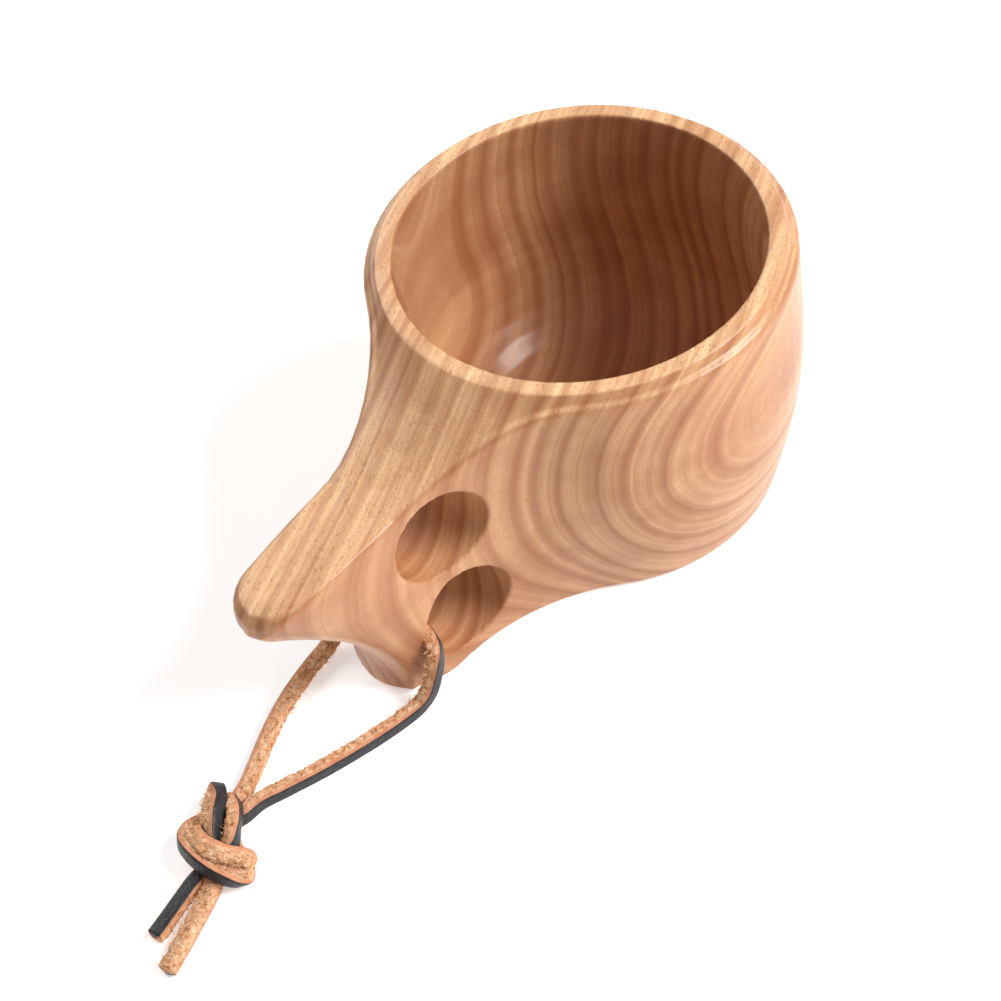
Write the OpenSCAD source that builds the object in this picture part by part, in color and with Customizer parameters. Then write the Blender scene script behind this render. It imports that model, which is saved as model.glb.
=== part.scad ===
// Kuksa: a drinking cup carved from one block of wood, with a leather thong through its handle.
// Millimetres, +Z up. The origin is the middle of the bowl's base, on the table.
// The handle points along -X.

/* [Bowl] */
// widest diameter of the bowl, at its belly
bowl_d = 90; // [70:0.5:120]
// height of the rim above the table
rim_h = 65; // [45:0.5:90]
// diameter of the base that stands on the table
base_d = 77; // [60:0.5:100]
// outer diameter of the shoulder, where the side turns into the rim
shoulder_d = 89.4; // [68:0.2:118]
// diameter of the flat band of the rim, measured on its outside
rim_band_d = 84; // [64:0.2:108]
// diameter of the mouth
mouth_d = 76.7; // [60:0.1:104]
// height of the belly, as a share of the height of the side
belly_at = 0.65; // [0.4:0.01:0.8]
// wood left under the hollow
floor_t = 8; // [4:0.5:15]
// radius of the curve between the hollow's wall and its floor
hollow_corner_r = 26; // [10:0.5:32]
// rounding of the inner lip of the rim
lip_r = 0.4; // [0.2:0.1:1.5]

/* [Handle] */
// distance from the middle of the bowl to the tip of the nose
nose_reach = 104; // [90:0.5:130]
// distance from the middle of the bowl to the end of the foot
foot_reach = 77.2; // [70:0.2:95]
// width of the handle along its top
top_w = 18.4; // [14:0.2:30]
// width of the handle along its foot
foot_w = 24; // [18:0.2:36]
// how much narrower each side is at the nose
nose_taper = 2.1; // [0:0.1:3]
// distance from the middle of the bowl to where the top of the handle runs straight
straight_from = 74; // [66:0.5:90]
// drop from the rim to the top of the handle
top_drop = 12.7; // [6:0.1:20]
// fall of the top of the handle from there to the nose
nose_fall = 1; // [0:0.1:4]
// bulge of the end of the foot, seen from above
foot_bulge = 2.1; // [0.5:0.1:4]
// height of the upright end of the foot, under the curve that runs out to the nose
foot_h = 6; // [3:0.5:12]

/* [Edges] */
// rounding of the long ridges and of the shoulder
ridge_r = 1.6; // [0.8:0.1:3]
// rounding of the nose
nose_r = 4.5; // [2.5:0.1:6]
// rounding of the edge of the base
base_edge = 1; // [0.4:0.1:2]

/* [Finger holes] */
// diameter of both finger holes
finger_d = 21.5; // [16:0.1:24]
// distance of the upper hole from the middle of the bowl
upper_x = 61.3; // [56:0.1:70]
// height of the upper hole
upper_z = 40; // [34:0.1:44]
// distance of the lower hole from the middle of the bowl
lower_x = 59.4; // [56:0.1:68]
// height of the lower hole
lower_z = 15.2; // [12:0.1:18]

/* [Thong] */
// thickness of the leather thong
thong_d = 3.4; // [2.5:0.1:4.5]
// diameter of the knot
knot_d = 19; // [14:0.5:26]
// height of the knot
knot_h = 9.5; // [7:0.5:13]

/* [Display] */
// which piece to show

/* [Hidden] */

wood = [0.80, 0.56, 0.37];
suede = [0.71, 0.49, 0.33];
black_leather = [0.20, 0.20, 0.21];

// how many points each stretch of half an outline has
end_steps = 3;
corner_steps = 6;
side_steps = 6;
fillet_steps = 10;
bowl_steps = 26;
// how many rings the side, the ridge's rounding and the top of the handle have
flank_rings = 12;
round_rings = 4;
top_rings = 7;

// where the nose's rounding starts, in degrees below its tip
nose_under = 50;
// how fast the curve under the nose runs out, and how fast the top falls away from the rim
under_power = 1.7;
top_power = 1.7;
// size of the rounded upright corners, along and across the handle: at the foot, and at the nose
foot_corner = [1.8, 1.3];
nose_corner = [9, 6.2];
// where the foot's sides run straight, from the middle of the bowl
foot_straight = straight_from - 10;
// how much narrower the foot's end is than the foot, on each side
foot_taper = 3.6;
// bulge of the nose's end, seen from above
nose_bulge = 0.5;
// how far a cutter runs past what it cuts
past = 20;

function mix(a, b, t) = a + (b - a) * t;
function clamp(t) = max(0, min(1, t));
function ease(t) = t * t * (3 - 2 * t);

// height of the handle's top and of the rim's slope, at a distance from the middle of the bowl
fall_end = straight_from - 2;
function top_share(far) = clamp((far - rim_band_d / 2) / (fall_end - rim_band_d / 2));
function top_z(far) = rim_h - top_drop * (1 - pow(1 - top_share(far), top_power))
    - nose_fall * clamp((far - fall_end) / (nose_reach - fall_end));

// the bowl's radius at a level: 0 is the base and 1 the shoulder
function bowl_r(level) = level < belly_at
    ? mix(base_d, bowl_d, sin(90 * level / belly_at)) / 2
    : mix(bowl_d, shoulder_d, pow((level - belly_at) / (1 - belly_at), 2)) / 2;

// how far the handle's end reaches at a level, under its rounded nose
foot_level = foot_h / (top_z(nose_reach) - nose_r * (1 + sin(nose_under)));
under_reach = nose_reach - nose_r * (1 - cos(nose_under));
function end_reach(level) = foot_reach + (under_reach - foot_reach)
    * pow(clamp((level - foot_level) / (1 - foot_level)), under_power);

// half of an outline, from the middle of the handle's end round to the front of the bowl.
// in_side and in_end take the outline in from its full size.
function half_outline(level, reach, in_side, in_end) =
    let (
        r = bowl_r(level) - in_side,
        half_w = mix(foot_w, top_w, ease(level)) / 2 - in_side,
        taper = nose_taper * level,
        straight = mix(foot_straight, straight_from, level),
        crisp = pow(level, 1.5),
        corner = [mix(foot_corner[0], nose_corner[0], crisp), mix(foot_corner[1], nose_corner[1], crisp)],
        bulge = mix(foot_bulge, nose_bulge, level),
        end_x = reach - in_end,
        end_w = half_w - foot_taper * (1 - level)
            - taper * pow(clamp((end_x - corner[0] - straight) / (nose_reach - straight)), 1.5),
        end_y = end_w - corner[1],
        side_x = end_x - bulge - corner[0],
        bend_x = min(straight, side_x - 0.5),
        bend_r = (bend_x * bend_x + half_w * half_w - r * r) / (2 * (r - half_w)),
        bend_a = atan2(half_w + bend_r, bend_x)
    )
    concat(
        [for (i = [0:end_steps - 1]) let (y = end_y * i / end_steps) [
            -end_x + bulge * pow(y / end_y, 2),
            y
        ]],
        [for (i = [0:corner_steps - 1]) let (a = 90 * i / corner_steps) [
            -end_x + bulge + corner[0] * (1 - cos(a)),
            end_y + corner[1] * sin(a)
        ]],
        [for (i = [0:side_steps - 1]) let (x = mix(side_x, bend_x, i / side_steps)) [
            -x,
            half_w - (half_w - end_w) * pow((x - bend_x) / (side_x - bend_x), 1.5)
        ]],
        [for (i = [0:fillet_steps - 1]) let (a = (90 - bend_a) * i / fillet_steps) [
            -bend_x + bend_r * sin(a),
            half_w + bend_r * (1 - cos(a))
        ]],
        [for (i = [0:bowl_steps]) let (a = mix(180 - bend_a, 0, i / bowl_steps)) [r * cos(a), r * sin(a)]]
    );
half_count = end_steps + corner_steps + side_steps + fillet_steps + bowl_steps + 1;
ring_count = 2 * half_count - 2;
// which point of the half outline a point of the whole ring is
function half_of(i) = i < half_count ? i : ring_count - i;
function whole(half) = [for (i = [0:ring_count - 1]) let (p = half[half_of(i)])
    i < half_count ? p : [p[0], -p[1]]];

// how much of the nose's big rounding a point takes: 1 at the end, 0 along the sides
function nose_share(i) = 1 - ease(clamp((half_of(i) - end_steps) / corner_steps));
function round_r(i) = mix(ridge_r, nose_r, nose_share(i));
function round_a(i, k) = mix(90 * k, mix(-nose_under, 90, k), nose_share(i));
function round_in(r, a) = r * (1 - cos(a));

ridge_line = whole(half_outline(1, nose_reach, 0, 0));
function ridge_z(i) = top_z(norm(ridge_line[i]));
function round_z(i, k) = ridge_z(i) - round_r(i) * (1 - sin(round_a(i, k)));

function lift(line, heights) = [for (i = [0:ring_count - 1]) [line[i][0], line[i][1], heights[i]]];

base_ring = lift(
    whole(half_outline(0, foot_reach, base_edge, base_edge)),
    [for (i = [0:ring_count - 1]) 0]
);
flank = [for (k = [0:flank_rings]) let (level = k / flank_rings, step = max(level, base_edge / rim_h)) lift(
    whole(half_outline(step, end_reach(step), 0, 0)),
    [for (i = [0:ring_count - 1]) step * round_z(i, 0)]
)];
rounding = [for (k = [1:round_rings]) let (share = k / round_rings) lift(
    whole(half_outline(1, nose_reach, round_in(ridge_r, 90 * share),
        round_in(nose_r, mix(-nose_under, 90, share)))),
    [for (i = [0:ring_count - 1]) round_z(i, share)]
)];
crest = rounding[round_rings - 1];
function crest_top(i, share) =
    let (
        far = norm([crest[i][0], crest[i][1]]),
        now = mix(far, rim_band_d / 2, share),
        edge_gap = top_z(far) - crest[i][2]
    )
    [crest[i][0] * now / far, crest[i][1] * now / far, top_z(now) - edge_gap * (1 - share)];
top = [for (k = [1:top_rings]) [for (i = [0:ring_count - 1]) crest_top(i, k / top_rings)]];

// a closed solid through rings of the same number of points, from the lowest to the highest
module loft(rings, low, high) {
    count = len(rings[0]);
    last = (len(rings) - 1) * count;
    points = concat([for (ring = rings) each ring], [low, high]);
    sides = [for (k = [0:len(rings) - 2], i = [0:count - 1])
        let (a = k * count + i, b = k * count + (i + 1) % count)
        each [[a, b, b + count], [a, b + count, a + count]]];
    caps = [for (i = [0:count - 1])
        let (j = (i + 1) % count)
        each [[len(points) - 2, j, i], [last + i, last + j, len(points) - 1]]];
    polyhedron(points = points, faces = concat(sides, caps), convexity = 10);
}

// the hollow that holds the drink, with its curved floor and the rounded lip
hollow_r = mouth_d / 2;
module hollow() {
    rotate_extrude($fn = 96)
        polygon(concat(
            [[0, floor_t]],
            [for (a = [0:10:90]) [
                hollow_r - hollow_corner_r * (1 - sin(a)),
                floor_t + hollow_corner_r * (1 - cos(a))
            ]],
            [for (a = [0:30:90]) [hollow_r + lip_r * (1 - cos(a)), rim_h - lip_r * (1 - sin(a))]],
            [[hollow_r + lip_r, rim_h + past], [0, rim_h + past]]
        ));
}

module finger_hole(x, z) {
    translate([-x, 0, z])
        rotate([90, 0, 0])
            cylinder(h = bowl_d, d = finger_d, center = true, $fn = 64);
}

module cup_body() {
    color(wood)
        difference() {
            loft(concat([base_ring], flank, rounding, top), [0, 0, 0], [0, 0, rim_h]);
            hollow();
            finger_hole(upper_x, upper_z);
            finger_hole(lower_x, lower_z);
        }
}

// the thong lies against the post between the lower finger hole and the foot's end
thong_x = -lower_x - finger_d / 2 + thong_d / 2 + 0.7;
rest_z = thong_d / 2;
// one leg of the thong, from the middle of the finger hole down to the table and out to the knot
leg_route = [
    [thong_x, 0, lower_z],
    [thong_x, -6, lower_z],
    [thong_x, -11.5, lower_z],
    [thong_x - 0.2, -14.4, lower_z - 1.4],
    [thong_x - 0.8, -15.3, lower_z - 5],
    [thong_x - 2, -15.5, 6.5],
    [thong_x - 4.2, -15.4, 3.2],
    [-76.5, -14.8, rest_z],
    [-84, -13, rest_z],
    [-92, -10.8, rest_z],
    [-100, -8.2, rest_z],
    [-109, -4.9, rest_z],
    [-121, -1.5, rest_z]
];
long_tail_route = [[-131, -7.6, rest_z], [-138, -9.6, rest_z], [-146, -11.6, rest_z], [-153.5, -13, rest_z]];
short_tail_route = [[-131, -3.6, rest_z], [-137, -4.4, rest_z], [-143, -5.2, rest_z], [-149.5, -6, rest_z]];

function flip_y(points) = [for (p = points) [p[0], -p[1], p[2]]];
function backwards(points) = [for (i = [len(points) - 1:-1:0]) points[i]];
function unit(v) = v / norm(v);
function heading(points, i) = unit(points[min(i + 1, len(points) - 1)] - points[max(i - 1, 0)]);

// a ring of points across the thong, square to its heading. No stretch of the thong runs along aside.
tube_sides = 8;
aside = [1, 1, -1];
function tube_ring(at, ahead) =
    let (across = unit(cross(aside, ahead)), over = cross(across, ahead))
    [for (i = [0:tube_sides - 1]) let (a = (i + 0.5) * 360 / tube_sides)
        at + (across * cos(a) + over * sin(a)) * thong_d / 2];

module thong(route) {
    last = len(route) - 1;
    loft([for (i = [0:last]) tube_ring(route[i], heading(route, i))], route[0], route[last]);
}

module thong_loop() {
    color(suede)
        thong(concat(backwards(leg_route), [for (i = [1:len(leg_route) - 1]) flip_y(leg_route)[i]]));
}

knot_at = [-127.5, -3.5];
module thong_knot() {
    color(suede)
        translate([knot_at[0], knot_at[1], 0])
            rotate_extrude($fn = 32)
                polygon(concat(
                    [[0, 0]],
                    [for (a = [-60:15:90]) [knot_d / 2 * cos(a), knot_h * (sin(a) + sin(60)) / (1 + sin(60))]]
                ));
}

module thong_tail_long() {
    color(suede)
        thong(long_tail_route);
}

module thong_tail_short() {
    color(black_leather)
        thong(short_tail_route);
}

cup_body();
thong_loop();
thong_knot();
thong_tail_long();
thong_tail_short();
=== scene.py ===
import math
import random

import bmesh
import bpy
from mathutils import Matrix, Vector, noise


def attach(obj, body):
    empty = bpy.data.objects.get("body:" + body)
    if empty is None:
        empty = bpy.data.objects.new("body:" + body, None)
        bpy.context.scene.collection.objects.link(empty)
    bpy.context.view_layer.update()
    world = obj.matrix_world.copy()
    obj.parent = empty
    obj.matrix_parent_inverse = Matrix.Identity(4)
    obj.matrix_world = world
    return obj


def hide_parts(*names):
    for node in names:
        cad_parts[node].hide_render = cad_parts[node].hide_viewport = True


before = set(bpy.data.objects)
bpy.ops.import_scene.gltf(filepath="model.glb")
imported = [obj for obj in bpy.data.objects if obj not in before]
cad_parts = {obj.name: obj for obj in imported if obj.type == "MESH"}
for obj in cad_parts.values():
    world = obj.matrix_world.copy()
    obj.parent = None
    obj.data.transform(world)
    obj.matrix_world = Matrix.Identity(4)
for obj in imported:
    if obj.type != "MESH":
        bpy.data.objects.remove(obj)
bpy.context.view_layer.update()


# Camera
# The eye looks down on the cup from the thong's side, past the near flank
# of the handle into the bowl, tipped a little so that the handle runs
# down to the left.
EYE = (-0.2551, -0.2459, 0.4037)
TURN, LOOK_DOWN, TIP = math.radians(-42), math.radians(49.5), math.radians(-10.5)

lens = bpy.data.cameras.new("studio_camera")
lens.lens = 86.3
lens.sensor_width = 36
lens.clip_start, lens.clip_end = 0.01, 20
camera = bpy.data.objects.new("studio_camera", lens)
bpy.context.scene.collection.objects.link(camera)
camera.matrix_world = (Matrix.Translation(EYE) @ Matrix.Rotation(TURN, 4, "Z")
                       @ Matrix.Rotation(math.pi / 2 - LOOK_DOWN, 4, "X")
                       @ Matrix.Rotation(TIP, 4, "Z"))
bpy.context.scene.camera = camera
bpy.context.scene.view_settings.view_transform = "Standard"


# Thong strands
# One strap of leather, dyed black on the grain side and left raw on the
# flesh side, about 3 mm square, passed through the lower finger hole and
# tied with its two strands together in one overhand knot.
MM = 0.001
STRAP_W, STRAP_T = 3.2, 3.0
RING_GAP, RING_SIDES = 0.3, 40
# how square the strap's section is, from 1, round, to 0, sharp corners
SQUARENESS = 0.34
# the strap and its fibres stay at least this far above the table, in millimetres
TABLE_GAP = 0.05
# the first rings lie in the finger hole, where no fibres stand out
RINGS_IN_HOLE = 40
FIBRES = 1400

# Each row: the middle of the strap in millimetres, the way its grain side
# faces, and how many millimetres the soft flesh side swells.
NEAR_STRAND = [
    (-68.5, 0, 15.2, 1, 0, .2, 0), (-68.5, -5, 15.2, 1, 0, .2, 0), (-68.7, -9.2, 15, 1, -.1, .2, 0),
    (-69.6, -11.9, 13.6, .8, -.6, .3, 0), (-71, -12.9, 10.6, .3, -1, .15, 0),
    (-72.6, -13.1, 7.4, .1, -1, .05, 0), (-74.8, -13.1, 4.2, 0, -1, 0, 0),
    (-77.8, -12.5, 2.2, -.05, -1, 0, 0), (-82, -11.6, 1.7, -.15, -1, 0, 0),
    (-87, -10.5, 1.7, -.2, -1, 0, 0), (-94, -8.5, 1.7, -.3, -1, 0, 0), (-102, -5.8, 1.7, -.33, -1, 0, 0),
    (-109, -3.1, 1.8, -.35, -1, 0, 0), (-114, -1.3, 2, -.3, -1, .05, 0), (-118.5, -.9, 2.2, 0, -1, .1, 0),
    (-123, .6, 2.6, .2, -1, 0, 0), (-126.4, 2.8, 3.2, .5, -.7, -.2, .3),
    (-128, 1.4, 5.2, .8, -.2, .1, 1.1), (-129, -2.2, 6.3, .9, 0, .1, 1.4),
    (-128.2, -6.2, 5.9, .9, .1, 0, 1.4), (-126.2, -9.2, 4.4, .8, .3, -.2, 1),
    (-125.4, -8.6, 2.2, .4, .2, -.8, .2), (-125.8, -5, 1.6, .2, 0, -1, 0),
    (-124, -.6, 1.6, .3, -.2, -1, 0), (-121.6, 3.6, 1.8, .4, .3, -.9, 0),
    (-118.9, 6.8, 3, .6, .6, -.3, .4), (-118.3, 6, 5.2, .7, .2, .7, 1.2),
    (-120.2, 3.5, 6.3, .5, -.5, .6, 1.6), (-123.7, 1.1, 6.5, .5, -.65, .57, 1.6),
    (-127.5, -1.9, 4.5, .5, -.6, .5, .4), (-131, -5.6, 2.4, 0, -.3, -1, 0),
    (-135, -7.7, 1.7, 0, -.35, -.95, 0), (-141, -9.7, 1.7, 0, -.4, -.95, 0),
    (-147, -11.5, 1.7, 0, -.4, -.95, 0), (-152.7, -13.1, 1.7, 0, -.4, -.95, 0)]
FAR_STRAND = [
    (-68.5, 0, 12, 1, 0, .2, 0), (-68.5, 5, 12, 1, 0, .2, 0), (-68.7, 9.4, 11.8, 1, .1, .2, 0),
    (-69.6, 12, 10.4, .8, .6, .3, 0), (-71.2, 13, 7.8, .3, 1, .15, 0), (-73.6, 13.4, 4.6, .1, 1, .05, 0),
    (-77.4, 13.6, 2.2, 0, 1, 0, 0), (-83, 13.3, 1.7, -.1, 1, 0, 0), (-90, 12.1, 1.7, -.2, 1, 0, 0),
    (-96, 10.5, 1.7, -.3, 1, 0, 0), (-102, 8.3, 1.7, -.4, 1, 0, 0), (-108, 5.7, 1.7, -.4, 1, 0, 0),
    (-113.5, 3.4, 1.9, -.4, 1, .05, 0), (-118.5, 2.4, 2.2, -.1, 1, .1, 0), (-123, 3.4, 2.6, -.1, 1, 0, 0),
    (-127.2, 5.2, 2.8, -.5, .8, 0, .3), (-130.6, 3.4, 4.3, -.9, .5, .25, 1),
    (-132.3, -1, 5.5, -1, 0, .4, 1.3), (-132.5, -5.6, 5.3, -1, -.1, .4, 1.3),
    (-131.4, -9.6, 4.1, -.9, -.4, .2, 1.2), (-129.2, -11.4, 2.6, -.6, -.6, -.5, .5),
    (-126.6, -9.4, 1.7, 0, 0, -1, 0), (-125, -4.6, 1.6, .2, 0, -1, 0), (-122.4, -.4, 1.6, .3, -.2, -1, 0),
    (-119.8, 2.2, 1.8, .4, .3, -.9, 0), (-118.2, 2.8, 3.2, .7, .3, -.2, 0),
    (-118.6, 1.2, 4.6, .7, -.5, .3, 0), (-120, -.8, 5.1, .6, -.8, .1, 0),
    (-122.8, -2.9, 4.9, .5, -.85, 0, 0), (-126.2, -4.7, 3.8, .4, -.7, .4, 0),
    (-130.6, -4, 2.3, 0, -.1, 1, 0), (-135.2, -3.6, 1.7, 0, 0, 1, 0), (-140, -4.3, 1.6, 0, 0, 1, 0),
    (-145, -5.2, 1.6, 0, 0, 1, 0), (-148.8, -5.8, 1.6, 0, 0, 1, 0)]


def strap_line(rows):
    """Smooth places along a strand: middle, grain way, across way, swell and distance along."""
    keys = [Vector(r) for r in rows]
    keys = [2 * keys[0] - keys[1]] + keys + [2 * keys[-1] - keys[-2]]
    spots = []
    for a, b, c, d in zip(keys, keys[1:], keys[2:], keys[3:]):
        steps = max(1, math.ceil(math.dist(b[:3], c[:3]) / RING_GAP))
        for i in range(steps):
            t = i / steps
            spots.append(0.5 * (2 * b + (c - a) * t + (2 * a - 5 * b + 4 * c - d) * t * t
                                + (3 * b - a - 3 * c + d) * t ** 3))
    spots.append(keys[-2])
    line, along = [], 0
    for i, spot in enumerate(spots):
        before, after = spots[max(i - 1, 0)], spots[min(i + 1, len(spots) - 1)]
        ahead = (Vector(after[:3]) - Vector(before[:3])).normalized()
        grain = Vector(spot[3:6])
        grain = (grain - ahead * grain.dot(ahead)).normalized()
        if i:
            along += math.dist(spot[:3], spots[i - 1][:3])
        line.append((Vector(spot[:3]), grain, ahead.cross(grain), max(0, spot[6]), along))
    return line


def fuzz(depth):
    """How fibrous the leather is, from 0 near the grain side to 1 in the flesh."""
    return min(1, max(0, (depth - 0.25) / 0.2))


def closed_piece(name, mesh):
    """Puts a closed mesh in the scene, with all its faces outwards."""
    shaped = bmesh.new()
    shaped.from_mesh(mesh)
    bmesh.ops.recalc_face_normals(shaped, faces=shaped.faces)
    shaped.to_mesh(mesh)
    shaped.free()
    piece = bpy.data.objects.new(name, mesh)
    bpy.context.scene.collection.objects.link(piece)
    return piece


def strap_mesh(name, rows, seed):
    """One strand of the thong, and the smooth line that it follows."""
    line = strap_line(rows)
    points, marks, faces = [], [], []
    outline = []
    for k in range(RING_SIDES):
        angle = 2 * math.pi * (k + 0.5) / RING_SIDES
        outline.append([math.copysign(abs(v) ** SQUARENESS, v) for v in (math.cos(angle), math.sin(angle))])
    shift = Vector((seed * 17.3, seed * 5.1, 0))

    def ring(spot, scale, push):
        """One section across the strap, roughened where the leather is raw."""
        middle, grain, across, swell, along = spot
        start = len(points)
        for out, side in outline:
            depth = (1 - out) / 2
            place = (middle + across * side * scale * STRAP_W / 2
                     + grain * scale * (out * STRAP_T / 2 - swell * depth) + push)
            way = (grain * out + across * side).normalized()
            rough = fuzz(depth) * scale * (1.15 + 0.8 * min(1, swell))
            coarse = noise.noise((place + shift) * 0.9)
            fine = noise.noise((place + shift) * 3.1)
            hair = noise.noise((place + shift) * 7.0)
            place += way * (rough * (0.22 * coarse + 0.18 * fine + 0.10 * hair) + 0.03 * coarse)
            place.z = max(place.z, TABLE_GAP)
            points.append(place * MM)
            marks.append((along / 10, depth))
        return start

    def join(a, b):
        """The skin between two neighbouring rings."""
        for k in range(RING_SIDES):
            n = (k + 1) % RING_SIDES
            faces.append((a + k, a + n, b + n, b + k))

    def cap(spot, tip):
        """Smaller and smaller rings over a cut end, and the point in its middle."""
        starts = [ring(spot, s, tip * (1 - s) * 0.4) for s in (0.72, 0.42, 0.16)]
        middle, grain, across, swell, along = spot
        points.append((middle + tip * 0.3 - grain * swell / 2) * MM)
        marks.append((along / 10, 0.5))
        return starts, len(points) - 1

    starts = [ring(spot, 1, Vector()) for spot in line]
    for a, b in zip(starts, starts[1:]):
        join(a, b)
    for spot, outer, way in ((line[0], starts[0], -1), (line[-1], starts[-1], 1)):
        ahead = spot[1].cross(spot[2]) * way
        inner, centre = cap(spot, ahead)
        chain = [outer] + inner
        for a, b in zip(chain, chain[1:]):
            join(*((a, b) if way > 0 else (b, a)))
        for k in range(RING_SIDES):
            n = (k + 1) % RING_SIDES
            pair = (inner[-1] + k, inner[-1] + n)
            faces.append((*pair, centre) if way > 0 else (*pair[::-1], centre))
    mesh = bpy.data.meshes.new(name)
    mesh.from_pydata(points, [], faces)
    uv = mesh.uv_layers.new(name="along_and_depth")
    for loop in mesh.loops:
        uv.data[loop.index].uv = marks[loop.vertex_index]
    for face in mesh.polygons:
        face.use_smooth = True
    mesh.update()
    return closed_piece(name, mesh), line


def stray_fibres(name, line, seed):
    """Short curled fibres standing out of the flesh side and the cut edges."""
    dice = random.Random(seed)
    points, faces = [], []
    knotted = [spot for spot in line if spot[3] > 0.5]
    for index in range(FIBRES):
        middle, grain, across, swell, along = dice.choice(knotted if index % 3 == 0 else line[RINGS_IN_HOLE:])
        depth = dice.uniform(0.4, 1)
        face = dice.choice((-1, 1, 0, 0))
        side = face if face else dice.uniform(-0.95, 0.95)
        out = 1 - 2 * depth if face else -1
        root = middle + across * side * STRAP_W / 2 + grain * (out * STRAP_T / 2 - swell * (1 - out) / 2)
        ahead = grain.cross(across)
        way = across * side if face else -grain
        way = way + ahead * dice.uniform(-1.3, 1.3) + across * dice.uniform(-0.5, 0.5)
        way = (way + Vector((0, 0, dice.uniform(-0.4, 0.5)))).normalized()
        curl = Vector([dice.uniform(-1, 1) for _ in range(3)]).normalized()
        length, thick = dice.uniform(0.5, 1.7), dice.uniform(0.05, 0.1)
        first = way.cross(curl).normalized()
        second = way.cross(first)
        base = len(points)
        # three small rings from inside the leather outwards, then a tip
        for j, share in enumerate((-0.15, 0.35, 0.7)):
            at = root + way * length * share + curl * length * 0.35 * max(0, share) ** 2
            for turn in (0, 2.1, 4.2):
                spot = at + (first * math.cos(turn) + second * math.sin(turn)) * thick * (1 - 0.3 * j)
                points.append(Vector((spot.x, spot.y, max(spot.z, TABLE_GAP))) * MM)
        tip = root + way * length + curl * length * 0.35
        points.append(Vector((tip.x, tip.y, max(tip.z, 0.1))) * MM)
        for j in (0, 3):
            for k in range(3):
                n = (k + 1) % 3
                faces.append((base + j + k, base + j + n, base + j + 3 + n, base + j + 3 + k))
        faces += [(base + 6 + k, base + 6 + (k + 1) % 3, base + 9) for k in range(3)]
        faces.append((base + 2, base + 1, base))
    mesh = bpy.data.meshes.new(name)
    mesh.from_pydata(points, [], faces)
    mesh.update()
    return closed_piece(name, mesh)


def tint(r, g, b):
    """A colour from its red, green and blue shades, 0 to 255, as a paint chart gives them."""
    return tuple(((c / 255 + 0.055) / 1.055) ** 2.4 if c > 10 else c / 255 / 12.92 for c in (r, g, b)) + (1,)


class Finish:
    """A material under construction: add() makes a node, wire() sets or feeds the shader's own inputs."""

    def __init__(self, name):
        self.material = bpy.data.materials.new(name)
        self.material.use_nodes = True
        self.tree = self.material.node_tree
        self.shader = self.tree.nodes["Principled BSDF"]

    def add(self, kind, values=None, **settings):
        node = self.tree.nodes.new("ShaderNode" + kind)
        for key, value in settings.items():
            setattr(node, key, value)
        for key, value in (values or {}).items():
            if isinstance(value, bpy.types.NodeSocket):
                self.tree.links.new(value, node.inputs[key])
            else:
                node.inputs[key].default_value = value
        return node

    def maths(self, operation, a, b=0.0, clamp=False):
        return self.add("Math", {0: a, 1: b}, operation=operation, use_clamp=clamp).outputs[0]

    def noise(self, place, scale, detail=3.0, rough=0.5):
        return self.add("TexNoise", {"Vector": place, "Scale": scale, "Detail": detail,
                                     "Roughness": rough}).outputs["Fac"]

    def ramp(self, value, stops):
        node = self.add("ValToRGB", {"Fac": value})
        band = node.color_ramp
        while len(band.elements) < len(stops):
            band.elements.new(0.5)
        for element, (at, colour) in zip(band.elements, stops):
            element.position = at
            element.color = colour if isinstance(colour, tuple) else (colour, colour, colour, 1)
        return node.outputs["Color"]

    def mix(self, share, a, b, kind="MIX"):
        node = self.add("Mix", data_type="RGBA", blend_type=kind)
        for key, value in (("Factor_Float", share), ("A_Color", a), ("B_Color", b)):
            socket = next(s for s in node.inputs if s.identifier == key)
            if isinstance(value, bpy.types.NodeSocket):
                self.tree.links.new(value, socket)
            else:
                socket.default_value = value
        return next(s for s in node.outputs if s.identifier == "Result_Color")

    def bump(self, height, strength, distance):
        return self.add("Bump", {"Height": height, "Strength": strength, "Distance": distance}).outputs[0]

    def wire(self, **sockets):
        for key, value in sockets.items():
            socket = self.shader.inputs[key.replace("_", " ")]
            if isinstance(value, bpy.types.NodeSocket):
                self.tree.links.new(value, socket)
            else:
                socket.default_value = value


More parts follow.
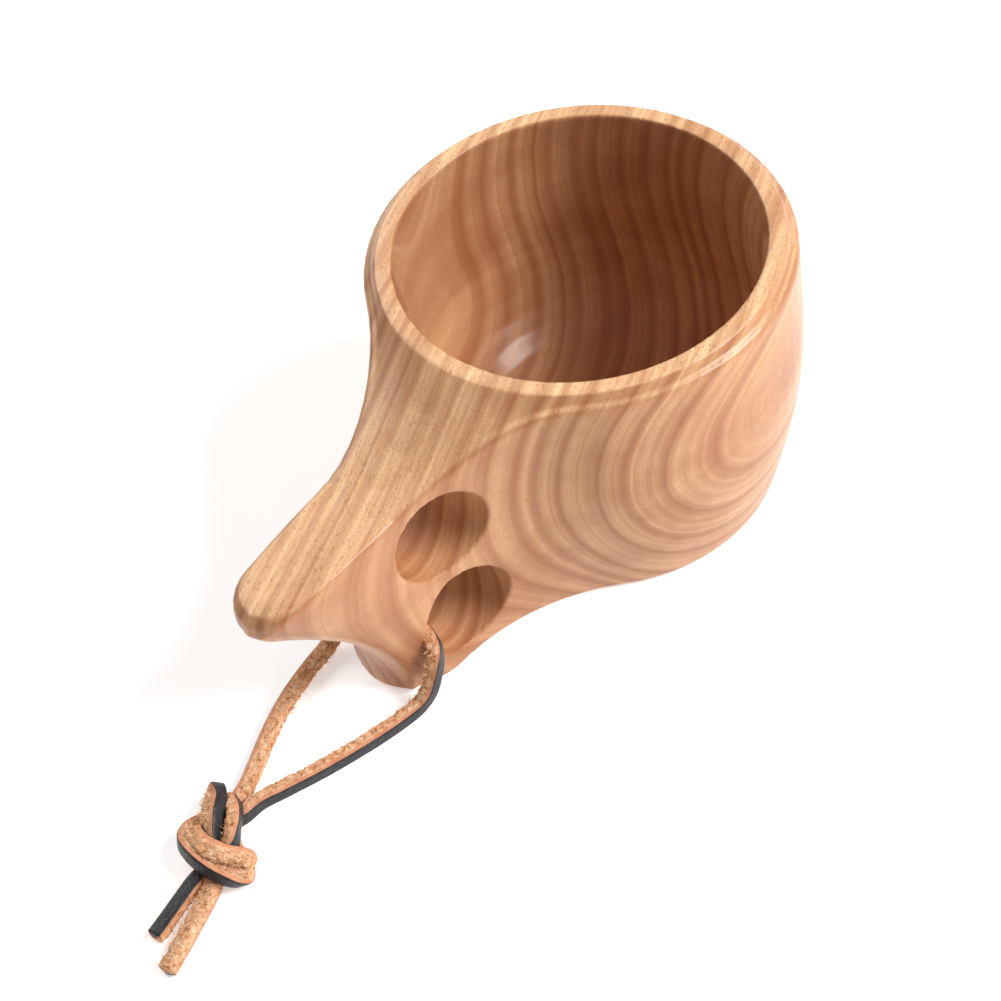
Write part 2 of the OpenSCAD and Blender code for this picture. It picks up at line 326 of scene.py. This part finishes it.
def strap_leather():
    """Black grain side, matted raw flesh side, and the cut edges between them."""
    f = Finish("strap_leather")
    place = f.add("TexCoord").outputs["Object"]
    along_depth = f.add("SeparateXYZ", {0: f.add("UVMap", uv_map="along_and_depth").outputs[0]})
    depth = along_depth.outputs["Y"]
    wander = f.noise(place, 900.0, 3.0)
    ragged = f.maths("ADD", depth, f.maths("MULTIPLY", f.maths("SUBTRACT", wander, 0.5), 0.12))
    matted = f.add("TexNoise", {"Vector": place, "Scale": 1000.0, "Detail": 5.0, "Roughness": 0.66,
                                "Distortion": 0.5}).outputs["Fac"]
    raw = f.ramp(matted, [(0.33, tint(146, 90, 54)), (0.42, tint(204, 148, 106)), (0.52, tint(226, 178, 138)),
                          (0.66, tint(244, 212, 176))])
    blotch = f.ramp(f.noise(place, 260.0, 2.0), [(0.35, tint(236, 216, 200)), (0.65, tint(255, 255, 255))])
    raw = f.mix(0.8, raw, blotch, "MULTIPLY")
    edge = f.ramp(f.noise(place, 500.0, 2.0), [(0.3, tint(192, 124, 90)), (0.7, tint(214, 152, 116))])
    fibrous = f.ramp(ragged, [(0.2, 0.0), (0.34, 1.0)])
    flesh = f.mix(fibrous, edge, raw)
    dyed = f.ramp(f.noise(place, 700.0, 2.0), [(0.3, tint(24, 24, 26)), (0.7, tint(44, 44, 47))])
    is_flesh = f.ramp(f.maths("ADD", depth, f.maths("MULTIPLY", f.maths("SUBTRACT", wander, 0.5), 0.03)),
                      [(0.055, 0.0), (0.085, 1.0)])
    colour = f.mix(is_flesh, dyed, flesh)
    gloss = f.ramp(is_flesh, [(0.0, 0.42), (1.0, 0.92)])
    grain = f.maths("MULTIPLY", f.noise(place, 1300.0, 2.0), 0.3)
    height = f.mix(fibrous, grain, matted)
    f.wire(Base_Color=colour, Roughness=gloss, Normal=f.bump(height, 0.8, 0.0007),
           Specular_IOR_Level=0.4)
    return f.material


def fibre_leather():
    """The loose fibres, pale and dull like the flesh side."""
    f = Finish("stray_fibre")
    place = f.add("TexCoord").outputs["Object"]
    tones = [(0.35, tint(206, 150, 106)), (0.65, tint(246, 216, 182))]
    f.wire(Base_Color=f.ramp(f.noise(place, 400.0), tones), Roughness=0.9)
    return f.material


leather, fibre = strap_leather(), fibre_leather()
for name, rows, others, seed in (
        ("thong_near_strand", NEAR_STRAND, ("thong_loop", "thong_tail_long"), 1),
        ("thong_far_strand", FAR_STRAND, ("thong_knot", "thong_tail_short"), 2)):
    strand, line = strap_mesh(name, rows, seed)
    strand.data.materials.append(leather)
    fluff = stray_fibres(name + "_fibres", line, seed)
    fluff.data.materials.append(fibre)
    for piece in (strand, fluff):
        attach(piece, "thong")
    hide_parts(*others)


# Cup
# Bowl and handle are shaped from one block of light wood, whose pith ran
# nearly level outside the near flank. The cup is sanded smooth, its edges
# are eased, and it is finished with a satin lacquer.
PITH, PITH_WAY = Vector((16.5, -62.5, 43)), Vector((0.95, 0.28, 0.136)).normalized()
# how far from the pith each year's dark late wood lies, in millimetres
INNER_YEARS = (12, 19, 27, 34.5, 41.5, 46.5, 53.5, 57.5, 61, 66)
OUTER_YEARS = (71.5, 77, 80.5, 86, 88.5, 92.5, 97, 100, 105, 112)
# the stretch of the log that each of the two lists covers
YEARS_START, YEARS_MEET, YEARS_END = 8, 69, 118
# the flank's own wood colour, and the paler painted light for the surfaces that face up
WOOD_FLANK, WOOD_LIT_TOP = tint(208, 160, 118), tint(250, 206, 158)
WOOD_LATE, WOOD_STREAK = tint(150, 88, 54), tint(168, 104, 60)
# the pale colour of the painted sheen, and the pores' dark colour
WOOD_SHEEN, WOOD_PORE = tint(240, 202, 152), tint(128, 72, 38)
SKIN_SIZE, SKIN_TRIANGLES = 0.00045, 190000


def cup_wood():
    """Yearly rings about the pith, streaks and pores along the grain, a thin lacquer, and painted light: a
    paler colour and a painted sheen where the wood faces up.
    """
    f = Finish("cup_wood")
    object_place = f.add("TexCoord")
    place, facing = object_place.outputs["Object"], object_place.outputs["Normal"]
    level = Vector((0, 0, 1)).cross(PITH_WAY).normalized()
    rise = PITH_WAY.cross(level)

    def in_log(source, stretch):
        """A place in the log, with its length along the grain pressed together."""
        moved = f.add("VectorMath", {0: source, 1: PITH * MM}, operation="SUBTRACT").outputs[0]
        parts = {}
        for key, way in (("X", level), ("Y", rise), ("Z", PITH_WAY * stretch)):
            parts[key] = f.add("VectorMath", {0: moved, 1: way}, operation="DOT_PRODUCT").outputs["Value"]
        return f.add("CombineXYZ", parts).outputs[0]

    def wander(scale, reach):
        """A slow drift of the grain, up to half of reach each way."""
        drift = f.add("TexNoise", {"Vector": in_log(place, 0.35), "Scale": scale, "Detail": 2.0})
        drift = f.add("VectorMath", {0: drift.outputs["Color"], 1: (0.5, 0.5, 0.5)},
                      operation="SUBTRACT").outputs[0]
        return f.add("VectorMath", {0: drift, "Scale": reach}, operation="SCALE").outputs[0]

    bent = f.add("VectorMath", {0: place, 1: wander(20.0, 0.002)}, operation="ADD").outputs[0]
    bent = f.add("VectorMath", {0: bent, 1: wander(150.0, 0.0005)}, operation="ADD").outputs[0]
    radius = f.add("VectorMath", {0: in_log(bent, 0.0)}, operation="LENGTH").outputs["Value"]

    def late_wood(years, low, high):
        """How dark the rings are: pale early wood, a sharp dark line, then a slow fade."""
        stops = [(0.0, 0.4)]
        for year in years:
            for shift, dark in ((-1.3, 0.0), (0, 1.0), (1.7, 0.3)):
                stops.append(((year + shift - low) / (high - low), dark))
        share = f.maths("DIVIDE", f.maths("SUBTRACT", radius, low * MM), (high - low) * MM, True)
        return f.ramp(share, stops)

    inner = late_wood(INNER_YEARS, YEARS_START, YEARS_MEET)
    outer = late_wood(OUTER_YEARS, YEARS_MEET, YEARS_END)
    year = f.mix(f.maths("GREATER_THAN", radius, YEARS_MEET * MM), inner, outer)
    # thin lines between the years, then stretches where the rings are faint
    fine = f.add("TexNoise", {"W": f.maths("MULTIPLY", radius, 900.0), "Scale": 1.0, "Detail": 2.0,
                              "Roughness": 0.6}, noise_dimensions="1D").outputs["Fac"]
    patch = f.noise(in_log(place, 0.25), 60.0, 2.0)
    year = f.maths("MULTIPLY", year, f.ramp(patch, [(0.3, 0.72), (0.65, 1.0)]))
    # fine and broad streaks along the grain
    streak = f.noise(in_log(place, 0.09), 560.0, 5.0, 0.68)
    broad = f.noise(in_log(place, 0.12), 95.0, 2.0, 0.5)
    # the rim and the handle's top, which face up: painted paler, as though lit from above, and with open
    # grain
    decimetres = f.maths("MULTIPLY", f.add("SeparateXYZ", {0: place}).outputs["Z"], 10.0)
    topmost = f.maths("MULTIPLY", f.ramp(decimetres, [(0.35, 0.0), (0.42, 1.0)]),
                      f.ramp(f.add("SeparateXYZ", {0: facing}).outputs["Z"], [(0.72, 0.0), (0.96, 1.0)]))
    light = f.mix(topmost, WOOD_FLANK, WOOD_LIT_TOP)
    colour = f.mix(f.maths("MULTIPLY", year, f.ramp(topmost, [(0.0, 0.84), (1.0, 0.5)])), light, WOOD_LATE)
    colour = f.mix(f.ramp(fine, [(0.35, 0.3), (0.62, 0.0)]), colour, WOOD_LATE)
    colour = f.mix(f.ramp(broad, [(0.38, 0.35), (0.62, 0.0)]), colour, WOOD_LATE)
    dusk = f.maths("MULTIPLY", f.ramp(streak, [(0.36, 0.34), (0.54, 0.0)]),
                   f.ramp(topmost, [(0.0, 0.2), (1.0, 0.9)]))
    colour = f.mix(dusk, colour, WOOD_STREAK)
    # painted sheen: pale streaks along the grain, only on the surfaces that face up
    painted_sheen = f.maths("MULTIPLY", f.ramp(streak, [(0.55, 0.0), (0.75, 0.12)]), topmost)
    colour = f.mix(painted_sheen, colour, WOOD_SHEEN)
    speck = f.noise(place, 2100.0, 2.0, 0.7)
    colour = f.mix(f.ramp(speck, [(0.34, 0.34), (0.5, 0.0)]), colour, WOOD_STREAK)
    # open pores in places, most of them on top, each a small dark pit
    pore = f.add("TexVoronoi", {"Vector": in_log(place, 0.3), "Scale": 1900.0, "Randomness": 1.0})
    some = f.ramp(f.noise(in_log(place, 0.3), 900.0, 1.0), [(0.46, 0.0), (0.54, 1.0)])
    some = f.maths("MULTIPLY", some, f.ramp(topmost, [(0.0, 0.12), (1.0, 1.0)]))
    pit = f.maths("MULTIPLY", f.ramp(pore.outputs["Distance"], [(0.14, 1.0), (0.34, 0.0)]), some)
    colour = f.mix(f.maths("MULTIPLY", pit, 0.5), colour, WOOD_PORE)
    relief = f.maths("SUBTRACT", f.maths("MULTIPLY", streak, 0.3), pit)
    f.wire(Base_Color=colour, Roughness=f.ramp(streak, [(0.3, 0.46), (0.7, 0.36)]),
           Normal=f.bump(relief, 0.3, 0.0002), Specular_IOR_Level=0.15, Coat_Weight=0.28,
           Coat_Roughness=0.2)
    return f.material


cup_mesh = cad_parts["cup_body"].data.copy()
cup_mesh.name = "cup_wood_body"
shaped = bmesh.new()
shaped.from_mesh(cup_mesh)
bmesh.ops.remove_doubles(shaped, verts=shaped.verts, dist=0.00001)
bmesh.ops.triangulate(shaped, faces=shaped.faces)
shaped.to_mesh(cup_mesh)
shaped.free()
cup_mesh.materials.clear()
cup = bpy.data.objects.new("cup_wood_body", cup_mesh)
bpy.context.scene.collection.objects.link(cup)
for other in bpy.context.selected_objects:
    other.select_set(False)
bpy.context.view_layer.objects.active = cup
cup.select_set(True)
# an even fine skin, its edges sanded a little, then thinned where it is flat
remesh = cup.modifiers.new("remesh", "REMESH")
remesh.mode = "VOXEL"
remesh.voxel_size = SKIN_SIZE
bpy.ops.object.modifier_apply(modifier="remesh")
ease = cup.modifiers.new("sanding", "SMOOTH")
ease.factor, ease.iterations = 0.5, 3
bpy.ops.object.modifier_apply(modifier="sanding")
thin = cup.modifiers.new("thin", "DECIMATE")
thin.ratio = min(1, SKIN_TRIANGLES / (2 * len(cup.data.polygons)))
bpy.ops.object.modifier_apply(modifier="thin")
bpy.ops.object.shade_smooth()
cup.data.materials.clear()
cup.data.materials.append(cup_wood())
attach(cup, "cup")
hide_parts("cup_body")


# Studio
# The cup stands on a sheet of white paper. One soft light is high in front
# of the cup on the bowl's side, a wide one is above and behind it, and the
# room is evenly pale.
paper_mesh = bpy.data.meshes.new("paper")
paper_mesh.from_pydata([(-4, -4, 0), (4, -4, 0), (4, 4, 0), (-4, 4, 0)], [], [(0, 1, 2, 3)])
paper = bpy.data.objects.new("paper", paper_mesh)
bpy.context.scene.collection.objects.link(paper)
f = Finish("white_paper")
f.wire(Base_Color=tint(245, 245, 245), Roughness=0.9, Specular_IOR_Level=0.1,
       Emission_Color=(1, 1, 1, 1), Emission_Strength=0.43)
paper.data.materials.append(f.material)

room = bpy.data.worlds.new("white_room")
bpy.context.scene.world = room
room.use_nodes = True
room.node_tree.nodes["Background"].inputs["Color"].default_value = (1, 1, 1, 1)
room.node_tree.nodes["Background"].inputs["Strength"].default_value = 0.26

for name, place, aim, size, watts in (
        ("light_main", (0.44, -0.75, 0.84), (0, 0, 0.03), (0.5, 0.5), 18),
        ("light_back", (0.1, 1.2, 1.0), (0, 0, 0.05), (1.4, 0.7), 13)):
    lamp = bpy.data.lights.new(name, "AREA")
    lamp.shape = "RECTANGLE"
    lamp.energy, (lamp.size, lamp.size_y) = watts, size
    holder = bpy.data.objects.new(name, lamp)
    bpy.context.scene.collection.objects.link(holder)
    holder.location = place
    holder.rotation_euler = (Vector(aim) - Vector(place)).to_track_quat("-Z", "Y").to_euler()

bpy.context.view_layer.update()
